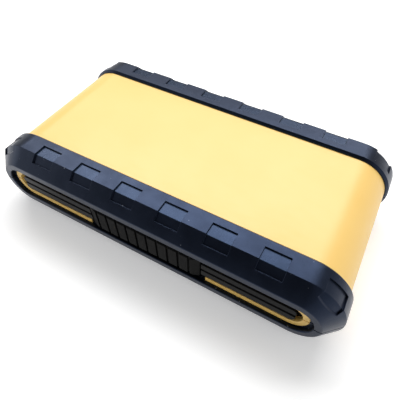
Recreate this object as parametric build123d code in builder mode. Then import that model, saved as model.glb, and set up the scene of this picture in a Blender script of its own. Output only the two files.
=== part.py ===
from build123d import *
import math
import os

# A clamshell case for screwdriver bits, X along its length, Y from front to rear, Z up.
# The origin is the middle of the footprint, on the surface that the case stands on.

# Closed case
LENGTH = 158.0
DEPTH = 86.0
HEIGHT = 34.0
PARTING_GAP = 0.4
TRAY_GAP = 0.8
FIT = 0.15

# Bumpers, one pair round each long edge
BUMPER_PROUD = 1.4
BAND_WIDTH = 9.4
SLOPE_RUN = 6.2
BAND_WALL = 2.4
SLOPE_WALL = 2.0
EDGE_BEVEL = 0.9
SLOT_END = 9.0
SLOT_INSET = 9.4
SLOT_DEPTH = 2.0
LIP_BEVEL = 0.3

# Grip pads sunk into the bumpers
PAD_DEPTH = 0.7
PAD_WIDTH = 9.8
PAD_PITCH = 20.0
PAD_COUNT = 6
PAD_ON_BAND = 5.4
PAD_DROP = 2.9
END_PAD_ANGLE = 53.0

# Outer shells
SHELL_WALL = 1.6
NECK_RECESS = 2.6
NECK_WALL = 1.3
RIM_RECESS = 1.6
RIM_END = 10.8
RIM_INSET = 9.6
RIM_WIDTH = 2.4
FLOOR_WALL = 1.8

# Inner trays
TRAY_WALL = 1.5
FACE_RECESS = 1.3
FACE_END = 15.8
FACE_HEIGHT = 7.4
FACE_ROUND = 1.8
FACE_BEVEL = 0.3

# Latch and the bay that it swings in
LATCH_WIDTH = 51.0
LATCH_RECESS = 0.1
LATCH_THICK = 1.9
LATCH_ABOVE = 6.2
LATCH_BELOW = 5.4
LATCH_RAMP = 3.3
LATCH_RAMP_DROP = 1.2
LATCH_BEVEL = 0.5
GROOVE_COUNT = 10
GROOVE_PITCH = 4.73
GROOVE_WIDTH = 0.9
GROOVE_DEPTH = 0.8
BAY_SIDE_GAP = 0.5
BAY_HEIGHT = 7.4
BAY_DEPTH = 6.2
BAY_WALL = 1.6
BAY_TOP_WALL = 1.1
CHEEK_RECESS = 1.9
CHEEK_HEIGHT = 7.0
LATCH_AXIS_RECESS = 3.7
LATCH_AXIS_ABOVE = 4.0
LATCH_BARREL_RADIUS = 1.8
LATCH_BARREL_LENGTH = 18.0
SPRING_ROOM = 8.0
LATCH_PIN_RADIUS = 0.8
PIN_CLEARANCE = 0.05
SPRING_WIRE = 0.4
COIL_RADIUS = 1.4
COIL_PITCH = 0.9
COIL_TURNS = 2
LEVER_LEG = 1.8
BAY_LEG = 2.1
BAY_LEG_ANGLE = 150.0
HOOK_LENGTH = 34.0
HOOK_REACH = 1.0
HOOK_THICK = 1.4
CATCH_DROP = 0.5
CATCH_THICK = 1.3
CATCH_FACE = 3.5
CATCH_CLEARANCE = 0.35

# Hinge, two groups of knuckles on one axis at mid-height
HINGE_RECESS = 2.1
KNUCKLE_RADIUS = 2.0
KNUCKLE_LENGTH = 9.0
KNUCKLE_COUNT = 3
KNUCKLE_GAP = 0.3
HINGE_SPREAD = 44.0
HINGE_PIN_RADIUS = 0.8
REAR_FACE_RECESS = 2.2
CHANNEL_INSET = 8.2

# Racks and the bits in them
RACK_COUNT = 3
RACK_END = 17.25
RACK_WIDTH = 15.0
RACK_PITCH = 16.5
RACK_FLOOR = 0.8
RACK_CORNER = 1.5
SOCKET_DEPTH = 9.0
SOCKET_END = 7.75
SOCKETS_PER_RACK = 10
SOCKET_CLEARANCE = 0.05
BIT_LENGTH = 25.0
BIT_HEX = 6.35
SHANK_LENGTH = 13.5
SHANK_BEVEL = 0.5
NECK_TAPER = 1.6
NECK_SIDES = 8

# Tips of the bits, from left to right in their racks
SLOTTED_WIDTHS = [3.5, 4.5, 5.5, 6.0]
PHILLIPS_RADII = [1.5, 2.0, 3.0, 3.0, 3.0, 3.1]
POZIDRIV_RADII = [1.5, 2.0, 3.0, 3.0, 3.1]
HEX_SIZES = [2.0, 2.5, 3.0, 4.0, 4.9]
STAR_SIZES = [2.4, 3.3, 4.4, 5.0, 5.6]
TAMPER_SIZES = [2.7, 3.8, 4.4, 5.0]
BLADE_LENGTH = 7.0
BLADE_FLAT = 1.5
BLADE_SHARE = 0.2
CROSS_LENGTH = 5.5
POINT_SHARE = 0.35
WEB_SHARE = 0.2
RIB_SHARE = 0.62
RIB_SHORT = 0.6
STAR_LENGTH = 6.0
STAR_SHOULDER = 0.3
LOBE_ROOT_SHARE = 0.72
TAMPER_SHARE = 0.36
TAMPER_DEPTH = 2.5
DRIVE_SQUARE = 6.3
DRIVE_LENGTH = 8.0

# Magnetic bit holder lying in front of the racks
HOLDER_SETBACK = 16.0
HOLDER_LENGTH = 60.0
HOLDER_RADIUS = 5.0
SLEEVE_LENGTH = 38.0
HOLDER_SOCKET_DEPTH = 10.0
SHANK_IN_SLEEVE = 8.0
MAGNET_RADIUS = 2.6
MAGNET_LENGTH = 3.0
SLEEVE_FLATS = 12
GRIP_START = 4.0
GRIP_RINGS = 5
GRIP_RING_PITCH = 2.4
GRIP_RING_WIDTH = 1.0
GRIP_RING_DEPTH = 0.4
BALL_GROOVE_SETBACK = 8.5
BALL_GROOVE_WIDTH = 3.0
BALL_GROOVE_RADIUS = 2.8
CRADLE_SPACING = 26.0
CRADLE_THICK = 3.0
CRADLE_FLOOR = 0.6
CRADLE_WALL = 1.4
CRADLE_CLEARANCE = 0.1

# Places worked out from the sizes above
MID = HEIGHT / 2
FRONT = -DEPTH / 2
FACE_LENGTH = LENGTH - 2 * FACE_END
BUMPER_DEPTH = SLOPE_RUN + BAND_WIDTH
END_CENTRE = LENGTH / 2 - MID
CAVITY_INSET = BAND_WALL + SHELL_WALL
CAVITY_RECESS = NECK_RECESS + NECK_WALL
TRAY_INSET = CAVITY_INSET + FIT
TRAY_RECESS = CAVITY_RECESS + FIT
WELL_INSET = TRAY_INSET + TRAY_WALL
WELL_RECESS = TRAY_RECESS + TRAY_WALL
BAY_HALF = LATCH_WIDTH / 2 + BAY_SIDE_GAP
BAY_OUTER_HALF = BAY_HALF + BAY_WALL
BAY_OUTER_HEIGHT = BAY_HEIGHT + BAY_TOP_WALL
LATCH_AXIS_Y = FRONT + LATCH_AXIS_RECESS
LATCH_AXIS_Z = MID + LATCH_AXIS_ABOVE
HINGE_Y = -FRONT - HINGE_RECESS
HINGE_LENGTH = KNUCKLE_COUNT * KNUCKLE_LENGTH
SEAT_Z = BUMPER_PROUD + FLOOR_WALL
BIT_FOOT = SEAT_Z + RACK_FLOOR
RACK_TOP = BIT_FOOT + SOCKET_DEPTH
HOLDER_Y = FRONT + HOLDER_SETBACK
RACK_MIDDLE = (HOLDER_Y + HOLDER_RADIUS + CRADLE_WALL - FRONT - WELL_RECESS) / 2
RACK_LENGTH = LENGTH - 2 * RACK_END
SEAT_DEPTH = RACK_COUNT * RACK_PITCH
SOCKET_PITCH = (RACK_LENGTH - 2 * SOCKET_END) / (SOCKETS_PER_RACK - 1)
RACK_ROWS = [RACK_MIDDLE + (row - (RACK_COUNT - 1) / 2) * RACK_PITCH for row in range(RACK_COUNT)]
HOLDER_Z = WELL_INSET + CRADLE_FLOOR + CRADLE_CLEARANCE + HOLDER_RADIUS


def upright(y):
    """The plane across the case at depth y, with its own axes along X and up from mid-height."""
    return Plane(origin=(0, y, MID), x_dir=(1, 0, 0), z_dir=(0, -1, 0))


def sideways(x):
    """The plane along the case's depth at x, with its own axes along Y and up from the floor."""
    return Plane(origin=(x, 0, 0), x_dir=(0, 1, 0), z_dir=(1, 0, 0))


def stadium_block(inset, recess, slope_depth):
    """The case's round-ended section drawn in by inset, with both ends drawn in by recess.

    Its end bevels run parallel to the bumpers' slopes, slope_depth beneath them.
    """
    bevel = SLOPE_RUN + slope_depth * math.sqrt(2) - recess - inset
    with BuildPart() as block:
        with BuildSketch(upright(FRONT + recess)):
            SlotOverall(LENGTH - 2 * inset, HEIGHT - 2 * inset)
        extrude(amount=-(DEPTH - 2 * recess))
        ends = block.edges().group_by(Axis.Y)
        chamfer(ends[0] + ends[-1], bevel)
    return block.part


envelope = stadium_block(0, 0, 0)
pad_floor = stadium_block(PAD_DEPTH, 0, PAD_DEPTH)
neck = stadium_block(BAND_WALL, NECK_RECESS, SLOPE_WALL)
cavity = stadium_block(CAVITY_INSET, CAVITY_RECESS, SLOPE_WALL + SHELL_WALL)
tray_block = stadium_block(TRAY_INSET, TRAY_RECESS, SLOPE_WALL + SHELL_WALL + FIT)
well = stadium_block(WELL_INSET, WELL_RECESS, SLOPE_WALL + SHELL_WALL + FIT + TRAY_WALL)
parting_low = Plane.XY.offset(MID - PARTING_GAP / 2)
parting_high = Plane.XY.offset(MID + PARTING_GAP / 2)
tray_low = Plane.XY.offset(MID - TRAY_GAP / 2)
tray_high = Plane.XY.offset(MID + TRAY_GAP / 2)

# Rims that stand up from both ends of the neck, inside the bumpers' slots
with BuildPart() as rims:
    with BuildSketch(upright(FRONT + RIM_RECESS)):
        SlotOverall(LENGTH - 2 * RIM_END, HEIGHT - 2 * RIM_INSET)
    extrude(amount=-(DEPTH - 2 * RIM_RECESS))

# Skin of the envelope over each grip pad, at the front end
with BuildPart() as pad_recesses:
    with BuildSketch(upright(FRONT)):
        for side in (1, -1):
            with Locations((0, side * MID)):
                with GridLocations(PAD_PITCH, 1, PAD_COUNT, 1):
                    Rectangle(PAD_WIDTH, 2 * PAD_DROP)
            for end in (1, -1):
                angle = math.radians(END_PAD_ANGLE)
                place = (
                    end * (END_CENTRE + MID * math.cos(angle)),
                    side * MID * math.sin(angle),
                )
                with Locations(Location(place, side * end * END_PAD_ANGLE)):
                    Rectangle(2 * PAD_DROP, PAD_WIDTH)
    extrude(amount=-(SLOPE_RUN + PAD_ON_BAND))
    add(pad_floor, mode=Mode.SUBTRACT)

# Both halves of the front bumper before they are parted
with BuildPart() as bumper_ring:
    add(envelope)
    split(bisect_by=Plane.XZ.offset(-FRONT - BUMPER_DEPTH), keep=Keep.TOP)
    rear_edges = bumper_ring.edges().group_by(Axis.Y)[-1]
    chamfer(rear_edges, EDGE_BEVEL)
    add(neck, mode=Mode.SUBTRACT)
    with BuildSketch(upright(FRONT)):
        SlotOverall(LENGTH - 2 * SLOT_END, HEIGHT - 2 * SLOT_INSET)
    extrude(amount=-SLOT_DEPTH, mode=Mode.SUBTRACT)
    lip = bumper_ring.edges().group_by(Axis.Y)[0].filter_by_position(
        Axis.Z, SLOT_INSET - FIT, HEIGHT - SLOT_INSET + FIT
    )
    chamfer(lip, LIP_BEVEL)
    add(rims.part, mode=Mode.SUBTRACT)
    add(pad_recesses.part, mode=Mode.SUBTRACT)

with BuildPart() as base_front_bumper:
    add(bumper_ring.part)
    split(bisect_by=parting_low, keep=Keep.BOTTOM)

with BuildPart() as lid_front_bumper:
    add(bumper_ring.part)
    split(bisect_by=parting_high, keep=Keep.TOP)

# Channel along the whole rear, so that what lies behind the hinge's axis clears itself
with BuildPart() as hinge_channel:
    with BuildSketch(upright(-FRONT - REAR_FACE_RECESS)):
        Rectangle(LENGTH, HEIGHT - 2 * CHANNEL_INSET)
    extrude(amount=-REAR_FACE_RECESS)

with BuildPart() as base_rear_bumper:
    mirror(base_front_bumper.part, about=Plane.XZ)
    add(hinge_channel.part, mode=Mode.SUBTRACT)

with BuildPart() as lid_rear_bumper:
    mirror(lid_front_bumper.part, about=Plane.XZ)
    add(hinge_channel.part, mode=Mode.SUBTRACT)

# Both shells before they are parted: smooth body, necks under the bumpers and rims in the slots
with BuildPart() as shell_pair:
    with BuildSketch(upright(FRONT + BUMPER_DEPTH)):
        SlotOverall(LENGTH - 2 * BUMPER_PROUD, HEIGHT - 2 * BUMPER_PROUD)
    extrude(amount=-(DEPTH - 2 * BUMPER_DEPTH))
    add(neck)
    add(rims.part)
    add(cavity, mode=Mode.SUBTRACT)
    with BuildSketch(upright(FRONT)):
        SlotOverall(LENGTH - 2 * (RIM_END + RIM_WIDTH), HEIGHT - 2 * (RIM_INSET + RIM_WIDTH))
    extrude(amount=-DEPTH, mode=Mode.SUBTRACT)
    with BuildSketch(upright(FRONT)):
        Rectangle(2 * (BAY_OUTER_HALF + FIT), 2 * (BAY_OUTER_HEIGHT + FIT))
    extrude(amount=-CAVITY_RECESS, mode=Mode.SUBTRACT)
    with BuildSketch(Plane.XY.offset(SEAT_Z)):
        with Locations((0, RACK_MIDDLE)):
            Rectangle(RACK_LENGTH + 2 * FIT, SEAT_DEPTH)
    extrude(amount=HEIGHT - 2 * SEAT_Z, mode=Mode.SUBTRACT)
    add(hinge_channel.part, mode=Mode.SUBTRACT)

with BuildPart() as base_shell:
    add(shell_pair.part)
    split(bisect_by=parting_low, keep=Keep.BOTTOM)

with BuildPart() as lid_shell:
    add(shell_pair.part)
    split(bisect_by=parting_high, keep=Keep.TOP)

# Both trays before they are parted: walls, faces in the two slots and the latch bay
with BuildPart() as tray_pair:
    add(tray_block)
    with BuildSketch(upright(FRONT + FACE_RECESS)):
        RectangleRounded(FACE_LENGTH, FACE_HEIGHT, FACE_ROUND)
    extrude(amount=-(DEPTH - FACE_RECESS - REAR_FACE_RECESS))
    add(well, mode=Mode.SUBTRACT)
    with BuildSketch(upright(FRONT + FACE_RECESS + TRAY_WALL)):
        Rectangle(FACE_LENGTH - 2 * TRAY_WALL, FACE_HEIGHT - 2 * TRAY_WALL)
    extrude(amount=-(WELL_RECESS - FACE_RECESS - TRAY_WALL), mode=Mode.SUBTRACT)
    with BuildSketch(upright(FRONT + CHEEK_RECESS)):
        Rectangle(2 * BAY_OUTER_HALF, 2 * CHEEK_HEIGHT)
    extrude(amount=-(BAY_DEPTH - CHEEK_RECESS))
    with BuildSketch(upright(FRONT + NECK_RECESS + FIT)):
        Rectangle(2 * BAY_OUTER_HALF, 2 * BAY_OUTER_HEIGHT)
    extrude(amount=-(BAY_DEPTH + BAY_WALL - NECK_RECESS - FIT))
    with BuildSketch(upright(FRONT)):
        Rectangle(2 * BAY_HALF, 2 * BAY_HEIGHT)
    extrude(amount=-BAY_DEPTH, mode=Mode.SUBTRACT)


def knuckle_places(own):
    """The middles along X of the base's knuckles, or of the lid's, in both groups."""
    first = -(KNUCKLE_COUNT - 1) / 2
    return [
        side * HINGE_SPREAD + (first + number) * KNUCKLE_LENGTH
        for side in (-1, 1)
        for number in range(KNUCKLE_COUNT)
        if (number % 2 == 0) == (own == "base")
    ]


def hinge_half(tray, own, toward):
    """A tray with its own knuckles added and room cut for the other tray's."""
    other = "lid" if own == "base" else "base"
    reach = KNUCKLE_RADIUS + KNUCKLE_GAP
    with BuildPart() as half:
        add(tray)
        for x in knuckle_places(other):
            with BuildSketch(sideways(x - KNUCKLE_LENGTH / 2)):
                with Locations((HINGE_Y, MID)):
                    Rectangle(2 * reach, 2 * reach)
            extrude(amount=KNUCKLE_LENGTH, mode=Mode.SUBTRACT)
        for x in knuckle_places(own):
            with BuildSketch(sideways(x - KNUCKLE_LENGTH / 2 + KNUCKLE_GAP / 2)):
                with Locations((HINGE_Y, MID)):
                    Circle(KNUCKLE_RADIUS)
                with Locations((HINGE_Y - KNUCKLE_RADIUS / 2, MID + toward * KNUCKLE_RADIUS / 2)):
                    Rectangle(KNUCKLE_RADIUS, KNUCKLE_RADIUS)
            extrude(amount=KNUCKLE_LENGTH - KNUCKLE_GAP)
        for side in (-1, 1):
            with BuildSketch(sideways(side * HINGE_SPREAD - HINGE_LENGTH / 2)):
                with Locations((HINGE_Y, MID)):
                    Circle(HINGE_PIN_RADIUS + PIN_CLEARANCE)
            extrude(amount=HINGE_LENGTH, mode=Mode.SUBTRACT)
    return half.part


with BuildPart() as base_half:
    add(tray_pair.part)
    split(bisect_by=tray_low, keep=Keep.BOTTOM)
    parting_edges = base_half.faces().sort_by(Axis.Z)[-1].outer_wire().edges()
    chamfer(parting_edges.group_by(Axis.Y)[0], FACE_BEVEL)

with BuildPart() as lid_half:
    add(tray_pair.part)
    split(bisect_by=tray_high, keep=Keep.TOP)
    parting_edges = lid_half.faces().sort_by(Axis.Z)[0].outer_wire().edges()
    chamfer(parting_edges.group_by(Axis.Y)[0], FACE_BEVEL)

base_hinge_half = hinge_half(base_half.part, "base", -1)
lid_hinge_half = hinge_half(lid_half.part, "lid", 1)

with BuildPart() as base_tray:
    add(base_hinge_half)
    # Window that the racks stand in
    with BuildSketch(Plane.XY.offset(TRAY_INSET)):
        with Locations((0, RACK_MIDDLE)):
            Rectangle(RACK_LENGTH + 2 * FIT, SEAT_DEPTH)
    extrude(amount=TRAY_WALL, mode=Mode.SUBTRACT)
    # Catch that the latch's hook goes under
    with BuildSketch(sideways(-BAY_HALF)):
        with Locations((FRONT + CATCH_FACE, MID - CATCH_DROP - CATCH_THICK)):
            Rectangle(BAY_DEPTH - CATCH_FACE, CATCH_THICK, align=(Align.MIN, Align.MIN))
    extrude(amount=2 * BAY_HALF)
    # Cradles for the bit holder
    for side in (-1, 1):
        with BuildSketch(sideways(side * CRADLE_SPACING / 2 - CRADLE_THICK / 2)):
            width = 2 * (HOLDER_RADIUS + CRADLE_WALL)
            with Locations((HOLDER_Y, WELL_INSET)):
                Rectangle(width, HOLDER_Z - WELL_INSET, align=(Align.CENTER, Align.MIN))
            with Locations((HOLDER_Y, HOLDER_Z)):
                Circle(HOLDER_RADIUS + CRADLE_CLEARANCE, mode=Mode.SUBTRACT)
        extrude(amount=CRADLE_THICK)

with BuildPart() as lid_tray:
    add(lid_hinge_half)
    # Opening over the bits
    with BuildSketch(Plane.XY.offset(HEIGHT - WELL_INSET)):
        with Locations((0, RACK_MIDDLE)):
            Rectangle(RACK_LENGTH + 2 * FIT, SEAT_DEPTH)
    extrude(amount=TRAY_WALL, mode=Mode.SUBTRACT)
    # Holes that carry the latch pin
    with BuildSketch(sideways(-BAY_OUTER_HALF)):
        with Locations((LATCH_AXIS_Y, LATCH_AXIS_Z)):
            Circle(LATCH_PIN_RADIUS + PIN_CLEARANCE)
    extrude(amount=2 * BAY_OUTER_HALF, mode=Mode.SUBTRACT)

with BuildPart() as latch:
    plate_back = FRONT + LATCH_RECESS + LATCH_THICK
    half = LATCH_WIDTH / 2
    with BuildSketch(Plane.XY.offset(MID - LATCH_BELOW)):
        with BuildLine():
            Polyline(
                (-half, plate_back),
                (-half, FRONT + LATCH_RECESS + LATCH_RAMP_DROP),
                (-half + LATCH_RAMP, FRONT + LATCH_RECESS),
                (half - LATCH_RAMP, FRONT + LATCH_RECESS),
                (half, FRONT + LATCH_RECESS + LATCH_RAMP_DROP),
                (half, plate_back),
                close=True,
            )
        make_face()
    extrude(amount=LATCH_BELOW + LATCH_ABOVE)
    long_edges = latch.edges().filter_by(Axis.X).group_by(Axis.Y)[0]
    chamfer(long_edges, LATCH_BEVEL)
    with BuildSketch(Plane.XY.offset(MID - LATCH_BELOW)):
        with Locations((0, FRONT + LATCH_RECESS)):
            with GridLocations(GROOVE_PITCH, 1, GROOVE_COUNT, 1):
                Rectangle(GROOVE_WIDTH, 2 * GROOVE_DEPTH)
    extrude(amount=LATCH_BELOW + LATCH_ABOVE, mode=Mode.SUBTRACT)
    for side in (-1, 1):
        near = SPRING_ROOM / 2 if side > 0 else -SPRING_ROOM / 2 - LATCH_BARREL_LENGTH
        with BuildSketch(sideways(near)):
            with Locations((LATCH_AXIS_Y, LATCH_AXIS_Z)):
                Circle(LATCH_BARREL_RADIUS)
            with Locations((plate_back, LATCH_AXIS_Z)):
                Rectangle(LATCH_AXIS_Y - plate_back, 2 * LATCH_BARREL_RADIUS, align=(Align.MIN, Align.CENTER))
        extrude(amount=LATCH_BARREL_LENGTH)
        with BuildSketch(sideways(near)):
            with Locations((LATCH_AXIS_Y, LATCH_AXIS_Z)):
                Circle(LATCH_PIN_RADIUS + PIN_CLEARANCE)
        extrude(amount=LATCH_BARREL_LENGTH, mode=Mode.SUBTRACT)
    hook_top = MID - CATCH_DROP - CATCH_THICK - CATCH_CLEARANCE
    hook_tip = FRONT + CATCH_FACE + HOOK_REACH
    with BuildSketch(sideways(-HOOK_LENGTH / 2)):
        with BuildLine():
            Polyline(
                (plate_back, hook_top),
                (hook_tip, hook_top),
                (hook_tip, hook_top - HOOK_THICK / 2),
                (plate_back, hook_top - HOOK_THICK),
                close=True,
            )
        make_face()
    extrude(amount=HOOK_LENGTH)

with BuildPart() as latch_pin:
    with BuildSketch(sideways(-BAY_OUTER_HALF)):
        with Locations((LATCH_AXIS_Y, LATCH_AXIS_Z)):
            Circle(LATCH_PIN_RADIUS)
    extrude(amount=2 * BAY_OUTER_HALF)

with BuildPart() as hinge_pins:
    pin_length = HINGE_LENGTH - KNUCKLE_GAP
    for side in (-1, 1):
        with BuildSketch(sideways(side * HINGE_SPREAD - pin_length / 2)):
            with Locations((HINGE_Y, MID)):
                Circle(HINGE_PIN_RADIUS)
        extrude(amount=pin_length)


def rack_places(row):
    """Where the bits of one rack stand, from the left end to the right."""
    first = -(SOCKETS_PER_RACK - 1) / 2
    return [(SOCKET_PITCH * (first + number), RACK_ROWS[row]) for number in range(SOCKETS_PER_RACK)]


def rack(row):
    """A block with a hexagonal socket for each bit."""
    with BuildPart() as block:
        with BuildSketch(Plane.XY.offset(SEAT_Z)):
            with Locations((0, RACK_ROWS[row])):
                Rectangle(RACK_LENGTH, RACK_WIDTH)
        extrude(amount=RACK_TOP - SEAT_Z)
        chamfer(block.edges().filter_by(Axis.Z), RACK_CORNER)
        with BuildSketch(Plane.XY.offset(BIT_FOOT)):
            with Locations(*rack_places(row)):
                RegularPolygon(BIT_HEX / 2 + SOCKET_CLEARANCE, 6, major_radius=False)
        extrude(amount=SOCKET_DEPTH, mode=Mode.SUBTRACT)
    return block.part


def neck_slope(low_radius, high_radius, rise):
    """The slope in degrees of a faceted neck that narrows from one radius to another."""
    run = (low_radius - high_radius) * math.cos(math.pi / NECK_SIDES)
    return math.degrees(math.atan2(run, rise))


def blank(neck_radius, neck_end):
    """A bit's hexagonal shank with a bevelled foot at the origin, and its faceted neck."""
    with BuildPart() as bit:
        with BuildSketch():
            RegularPolygon(BIT_HEX / 2, 6, major_radius=False)
        extrude(amount=SHANK_LENGTH)
        chamfer(bit.edges().group_by(Axis.Z)[0], SHANK_BEVEL)
        with BuildSketch(Plane.XY.offset(SHANK_LENGTH)):
            RegularPolygon(BIT_HEX / 2, NECK_SIDES)
        extrude(amount=NECK_TAPER, taper=neck_slope(BIT_HEX / 2, neck_radius, NECK_TAPER))
        with BuildSketch(Plane.XY.offset(SHANK_LENGTH + NECK_TAPER)):
            RegularPolygon(neck_radius, NECK_SIDES)
        extrude(amount=neck_end - SHANK_LENGTH - NECK_TAPER)
    return bit.part


def slotted_bit(width):
    """A flat blade ground from a neck as wide as itself."""
    rod = blank(width / 2, BIT_LENGTH)
    with BuildPart() as bit:
        add(rod)
        for side in (-1, 1):
            with BuildSketch(Plane.YZ.offset(-width)):
                with BuildLine():
                    Polyline(
                        (side * width / 2, BIT_LENGTH - BLADE_LENGTH),
                        (side * width * BLADE_SHARE / 2, BIT_LENGTH - BLADE_FLAT),
                        (side * width * BLADE_SHARE / 2, BIT_LENGTH),
                        (side * width, BIT_LENGTH),
                        (side * width, BIT_LENGTH - BLADE_LENGTH),
                        close=True,
                    )
                make_face()
            extrude(amount=2 * width, mode=Mode.SUBTRACT)
    return bit.part


def flutes(neck_radius):
    """The four flutes between the wings of a crossed tip, each a slanting V."""
    sink = neck_radius * (1 - WEB_SHARE)
    with BuildPart() as cutter:
        for number in range(4):
            turn = math.radians(45 + 90 * number)
            outward = Vector(math.cos(turn), math.sin(turn), 0)
            start = Plane.XY.offset(BIT_LENGTH - CROSS_LENGTH)
            with BuildSketch(start.rotated((0, 0, 45 + 90 * number))):
                with BuildLine():
                    Polyline(
                        (neck_radius, 0),
                        (3 * neck_radius, 2 * neck_radius),
                        (3 * neck_radius, -2 * neck_radius),
                        close=True,
                    )
                make_face()
            slant = Vector(0, 0, CROSS_LENGTH) - outward * sink
            extrude(amount=slant.length, dir=slant)
    return cutter.part


def crossed_bit(neck_radius, ribbed):
    """A cross of four wings on a tapered point, with a rib in each flute where ribbed."""
    rod = blank(neck_radius, BIT_LENGTH - CROSS_LENGTH / 2)
    cutter = flutes(neck_radius)
    with BuildPart() as bit:
        add(rod)
        with BuildSketch(Plane.XY.offset(BIT_LENGTH - CROSS_LENGTH / 2)):
            RegularPolygon(neck_radius, NECK_SIDES)
        point_slope = neck_slope(neck_radius, neck_radius * POINT_SHARE, CROSS_LENGTH / 2)
        extrude(amount=CROSS_LENGTH / 2, taper=point_slope)
        add(cutter, mode=Mode.SUBTRACT)
        if ribbed:
            with BuildSketch(Plane.XY.offset(BIT_LENGTH - CROSS_LENGTH)):
                Rectangle(neck_radius * RIB_SHARE, neck_radius * RIB_SHARE)
            extrude(amount=CROSS_LENGTH - RIB_SHORT)
    return bit.part


def star_bit(point_radius, tamper):
    """A six-lobed tip, with a hole in its end where it is for tamper-proof screws."""
    reaches = [point_radius, point_radius * LOBE_ROOT_SHARE] * 6
    corners = [Vector(reach, 0).rotate(Axis.Z, 30 * turn) for turn, reach in enumerate(reaches)]
    rod = blank(point_radius + STAR_SHOULDER, BIT_LENGTH - STAR_LENGTH)
    with BuildPart() as bit:
        add(rod)
        with BuildSketch(Plane.XY.offset(BIT_LENGTH - STAR_LENGTH)):
            with BuildLine():
                Polyline(*corners, close=True)
            make_face()
        extrude(amount=STAR_LENGTH)
        if tamper:
            with BuildSketch(Plane.XY.offset(BIT_LENGTH)):
                RegularPolygon(point_radius * TAMPER_SHARE, NECK_SIDES)
            extrude(amount=-TAMPER_DEPTH, mode=Mode.SUBTRACT)
    return bit.part


def hex_bit(across):
    """A hexagonal key tip."""
    rod = blank(across / math.sqrt(3) + STAR_SHOULDER, BIT_LENGTH - STAR_LENGTH)
    with BuildPart() as bit:
        add(rod)
        with BuildSketch(Plane.XY.offset(BIT_LENGTH - STAR_LENGTH)):
            RegularPolygon(across / 2, 6, major_radius=False)
        extrude(amount=STAR_LENGTH)
    return bit.part


def standing(bits, places):
    """Bits stood in their sockets, as one node of separate solids."""
    with BuildPart() as group:
        for bit, (x, y) in zip(bits, places):
            add(Pos(x, y, BIT_FOOT) * bit)
    return group.part


rear_places = rack_places(2)
middle_places = rack_places(1)
front_places = rack_places(0)
racks = [rack(row) for row in range(RACK_COUNT)]
slotted_group = standing([slotted_bit(width) for width in SLOTTED_WIDTHS], rear_places)
phillips_group = standing(
    [crossed_bit(radius, False) for radius in PHILLIPS_RADII],
    rear_places[len(SLOTTED_WIDTHS):],
)
pozidriv_group = standing([crossed_bit(radius, True) for radius in POZIDRIV_RADII], middle_places)
hex_group = standing([hex_bit(across) for across in HEX_SIZES], middle_places[len(POZIDRIV_RADII):])
star_group = standing([star_bit(size / 2, False) for size in STAR_SIZES], front_places)
tamper_group = standing(
    [star_bit(size / 2, True) for size in TAMPER_SIZES],
    front_places[len(STAR_SIZES):],
)
adaptor_x, adaptor_y = front_places[len(STAR_SIZES) + len(TAMPER_SIZES)]
adaptor_rod = Pos(adaptor_x, adaptor_y, BIT_FOOT) * blank(DRIVE_SQUARE / 2, BIT_LENGTH - DRIVE_LENGTH)

with BuildPart() as front_rack:
    add(racks[0])

with BuildPart() as middle_rack:
    add(racks[1])

with BuildPart() as rear_rack:
    add(racks[2])

with BuildPart() as slotted_bits:
    add(slotted_group)

with BuildPart() as phillips_bits:
    add(phillips_group)

with BuildPart() as pozidriv_bits:
    add(pozidriv_group)

with BuildPart() as hex_bits:
    add(hex_group)

with BuildPart() as star_bits:
    add(star_group)

with BuildPart() as tamper_star_bits:
    add(tamper_group)

# Adaptor from the bits' hexagon to a square drive, in the last socket
with BuildPart() as socket_adaptor:
    add(adaptor_rod)
    with BuildSketch(Plane.XY.offset(BIT_FOOT + BIT_LENGTH - DRIVE_LENGTH)):
        with Locations((adaptor_x, adaptor_y)):
            Rectangle(DRIVE_SQUARE, DRIVE_SQUARE)
    extrude(amount=DRIVE_LENGTH)
    chamfer(socket_adaptor.edges().group_by(Axis.Z)[-1], SHANK_BEVEL)

# Bit holder, lying along X with its mouth to the right
SLEEVE_START = HOLDER_LENGTH / 2 - SLEEVE_LENGTH


def along_holder(x):
    """The plane across the holder's axis at x, its own origin on the axis."""
    return Plane(origin=(x, HOLDER_Y, HOLDER_Z), x_dir=(0, 1, 0), z_dir=(1, 0, 0))


with BuildPart() as holder_sleeve:
    with BuildSketch(along_holder(SLEEVE_START)):
        RegularPolygon(HOLDER_RADIUS, SLEEVE_FLATS)
    extrude(amount=SLEEVE_LENGTH)
    ends = holder_sleeve.edges().group_by(Axis.X)
    chamfer(ends[0] + ends[-1], SHANK_BEVEL)
    for number in range(GRIP_RINGS):
        with BuildSketch(along_holder(SLEEVE_START + GRIP_START + number * GRIP_RING_PITCH)):
            RegularPolygon(HOLDER_RADIUS, SLEEVE_FLATS)
            RegularPolygon(HOLDER_RADIUS - GRIP_RING_DEPTH, SLEEVE_FLATS, mode=Mode.SUBTRACT)
        extrude(amount=GRIP_RING_WIDTH, mode=Mode.SUBTRACT)
    with BuildSketch(along_holder(HOLDER_LENGTH / 2)):
        RegularPolygon(BIT_HEX / 2 + SOCKET_CLEARANCE, 6, major_radius=False)
    extrude(amount=-HOLDER_SOCKET_DEPTH, mode=Mode.SUBTRACT)
    with BuildSketch(along_holder(HOLDER_LENGTH / 2 - HOLDER_SOCKET_DEPTH)):
        Circle(MAGNET_RADIUS + SOCKET_CLEARANCE)
    extrude(amount=-MAGNET_LENGTH, mode=Mode.SUBTRACT)
    with BuildSketch(along_holder(SLEEVE_START)):
        RegularPolygon(BIT_HEX / 2 + SOCKET_CLEARANCE, 6, major_radius=False)
    extrude(amount=SHANK_IN_SLEEVE, mode=Mode.SUBTRACT)

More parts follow.
